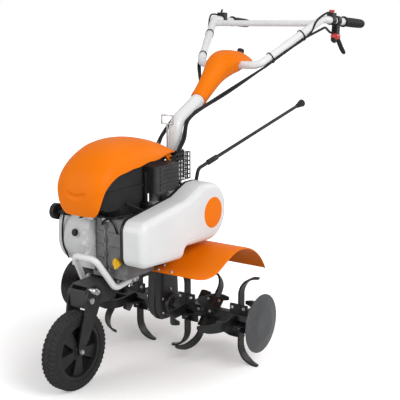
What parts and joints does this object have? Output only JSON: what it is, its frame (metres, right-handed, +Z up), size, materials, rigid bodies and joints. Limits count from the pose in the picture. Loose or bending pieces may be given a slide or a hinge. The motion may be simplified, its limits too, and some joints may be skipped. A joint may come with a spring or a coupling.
{
  "type": "power tiller",
  "caption": "Petrol power tiller with tine rotor, side fenders, belt guard, engine under a hinged hood, fold-up front transport wheel and a long handlebar on a bent column.",
  "frame": {"origin": "middle of the machine's footprint, on the ground", "axes": "+X forward to the front wheel, +Y to the machine's left, +Z up"},
  "size_m": [1.654, 0.856, 1.2094],
  "materials": {
    "orange_shell": "satin moulded plastic",
    "white_paint": "smooth powder coat",
    "grey_paint": "satin paint",
    "cast_alloy": "raw die casting",
    "dark_cast": "painted casting",
    "black_steel": "satin black paint",
    "disc_steel": "grey paint",
    "black_plastic": "moulded grain",
    "silencer_steel": "heat-proof paint",
    "yellow_plastic": "moulded plastic",
    "red_plastic": "moulded plastic",
    "bright_steel": "zinc plated",
    "grip_rubber": "ribbed rubber",
    "tyre_rubber": "moulded rubber",
    "rim_plastic": "moulded plastic"
  },
  "bodies": {
    "chassis": {"fender_left": "orange_shell", "fender_right": "orange_shell", "console": "orange_shell", "bumper": "white_paint", "column": "white_paint", "handlebar": "white_paint", "belt_guard": "white_paint", "blower_housing": "grey_paint", "crankcase": "cast_alloy", "engine_cylinder": "cast_alloy", "gear_case": "dark_cast", "wheel_bracket": "dark_cast", "frame": "black_steel", "hitch": "black_steel", "hood_hinge": "black_steel", "guard_plate": "black_steel", "recoil_starter": "black_plastic", "recoil_grip": "black_plastic", "blower_cap": "black_plastic", "fuel_tank": "black_plastic", "console_knob": "black_plastic", "gear_lever": "black_plastic", "clutch_lever": "black_plastic", "switch_base": "black_plastic", "throttle": "black_plastic", "muffler": "silencer_steel", "muffler_guard": "silencer_steel", "dipstick": "yellow_plastic", "stop_switch": "red_plastic", "clutch_lock": "red_plastic", "lock_pin": "bright_steel", "release_rod": "bright_steel", "grip_left": "grip_rubber", "grip_right": "grip_rubber", "cable_left": "grip_rubber", "cable_right": "grip_rubber"},
    "hood_lid": {"hood": "orange_shell", "hood_lugs": "orange_shell"},
    "wheel_arm": {"wheel_fork": "black_steel", "fork_pivot": "bright_steel", "wheel_axle": "bright_steel"},
    "front_wheel": {"tyre": "tyre_rubber", "rim": "rim_plastic"},
    "tine_rotor": {"tine_shaft": "bright_steel", "tine_reel_left": "black_steel", "tine_reel_right": "black_steel", "disc_left": "disc_steel", "disc_right": "disc_steel"}
  },
  "joints": [
    {"name": "rotor_spin", "type": "hinge", "parent": "chassis", "child": "tine_rotor", "pos_m": [0.219, 0, 0.16], "axis": [0, 1, 0], "continuous": true},
    {"name": "wheel_fold", "type": "hinge", "parent": "chassis", "child": "wheel_arm", "pos_m": [0.659, 0, 0.293], "axis": [0, -1, 0], "range_deg": [0, 80]},
    {"name": "wheel_spin", "type": "hinge", "parent": "wheel_arm", "child": "front_wheel", "pos_m": [0.697, 0, 0.13], "axis": [0, 1, 0], "continuous": true},
    {"name": "hood_open", "type": "hinge", "parent": "chassis", "child": "hood_lid", "pos_m": [0.249, 0, 0.7], "axis": [0, -1, 0], "range_deg": [0, 55]}
  ]
}
